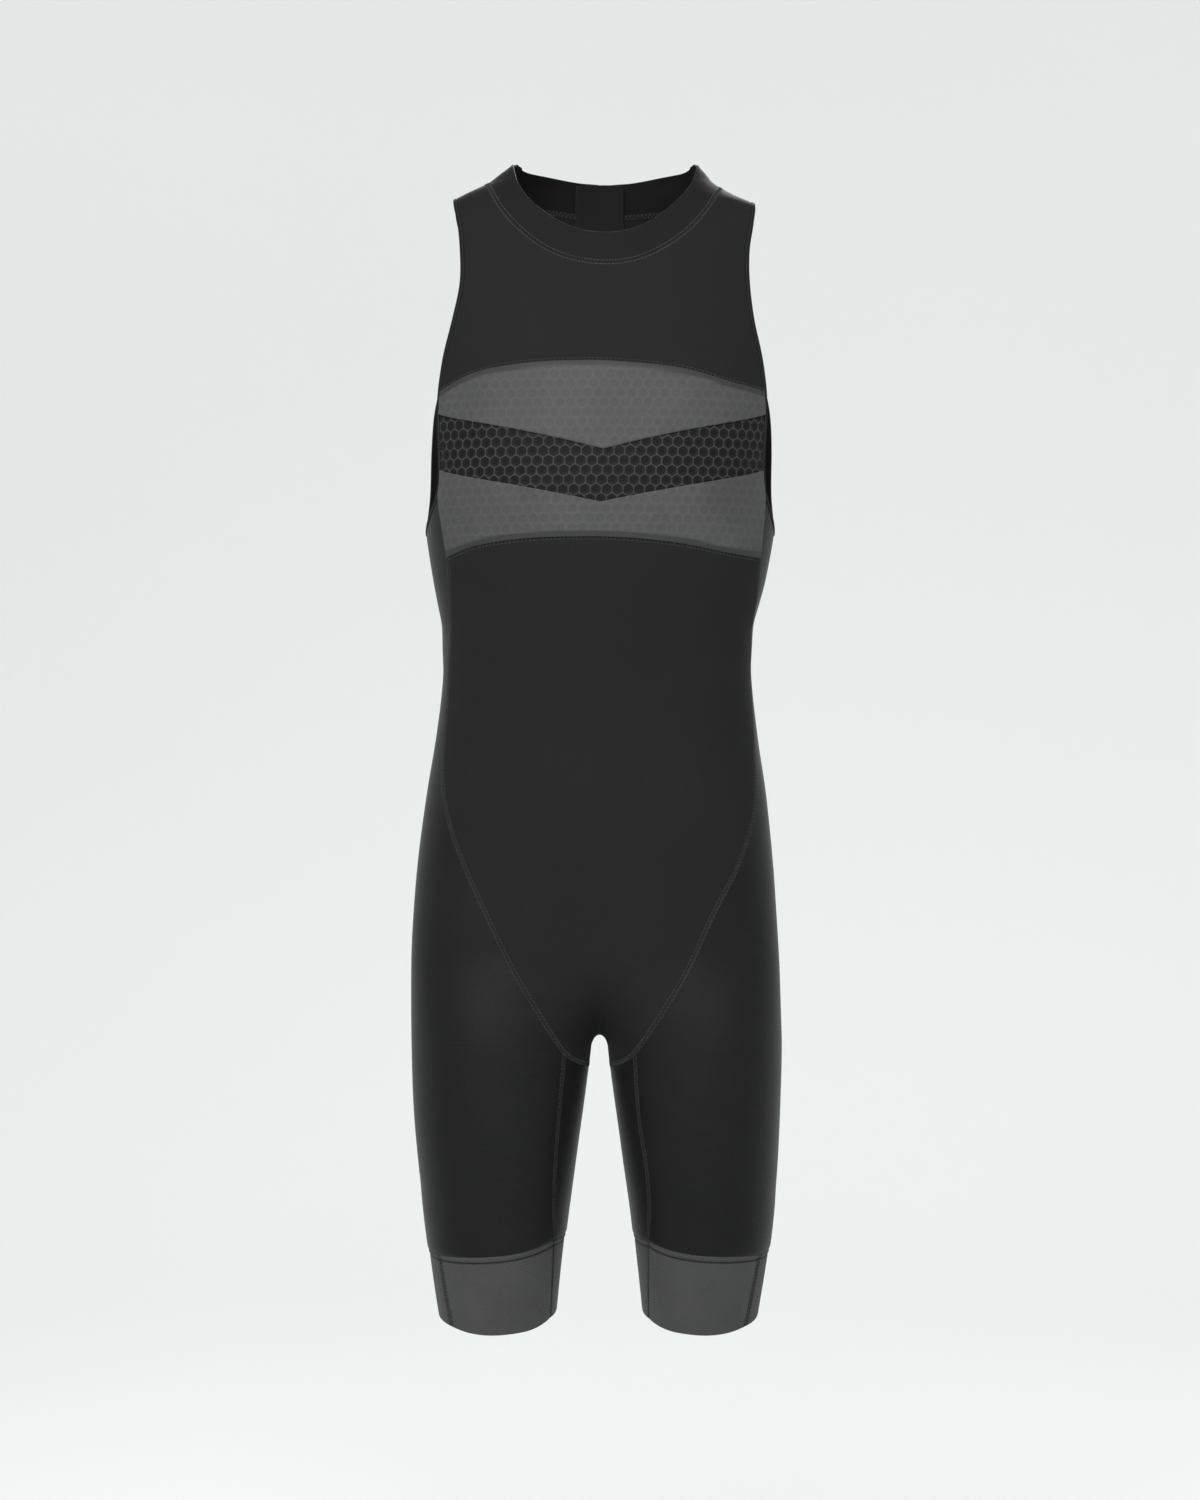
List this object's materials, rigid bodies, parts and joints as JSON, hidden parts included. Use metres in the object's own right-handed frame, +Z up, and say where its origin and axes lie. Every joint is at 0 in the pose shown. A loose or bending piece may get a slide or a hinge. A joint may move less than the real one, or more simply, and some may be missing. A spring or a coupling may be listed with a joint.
{
  "type": "triathlon suit",
  "caption": "Sleeveless one-piece triathlon suit in its worn, hollow form, with a crew collar, panelled chest, knee-length legs with gripper cuffs and a back zip.",
  "frame": {"origin": "midway between the shoulder straps, at the height of the shoulder ridge where the wearer's shoulders hold the suit", "axes": "+Z up from the hems to the collar, -Y the wearer's front, +X the wearer's left"},
  "size_m": [0.3066, 0.2106, 0.9617],
  "materials": {
    "body_knit": "matt black stretch knit",
    "side_knit": "matt black stretch knit, slightly lighter",
    "honeycomb_knit": "near-black knit with a raised honeycomb",
    "overlay_knit": "mid-grey film-like knit that shows the honeycomb below faintly",
    "cuff_mesh": "dark grey fine mesh gripper band",
    "edge_knit": "black smooth binding knit",
    "zip_textile": "black woven zip tape",
    "zip_coil": "black nylon coil",
    "zip_metal": "black lacquered die-cast metal"
  },
  "bodies": {
    "suit": {"front_yoke": "body_knit", "chest_panel": "honeycomb_knit", "chest_overlay_upper": "overlay_knit", "chest_overlay_lower": "overlay_knit", "front_body": "body_knit", "side_leg_right": "side_knit", "side_leg_left": "side_knit", "back_right": "body_knit", "back_left": "body_knit", "inner_thigh_right": "side_knit", "inner_thigh_left": "side_knit", "cuff_front_right": "cuff_mesh", "cuff_front_left": "cuff_mesh", "cuff_back_right": "cuff_mesh", "cuff_back_left": "cuff_mesh", "armhole_binding_right": "edge_knit", "armhole_binding_left": "edge_knit", "collar": "edge_knit", "zip_tape": "zip_textile", "zip_guard": "body_knit", "zip_chain": "zip_coil", "zip_slider": "zip_metal"},
    "pull_tab": {"zip_pull_tab": "zip_metal"}
  },
  "joints": [
    {"name": "pull_tab_hinge", "type": "hinge", "parent": "suit", "child": "pull_tab", "pos_m": [0.00503, 0.07065, 0.01189], "axis": [1, 0, 0], "range_deg": [0, 160]}
  ]
}
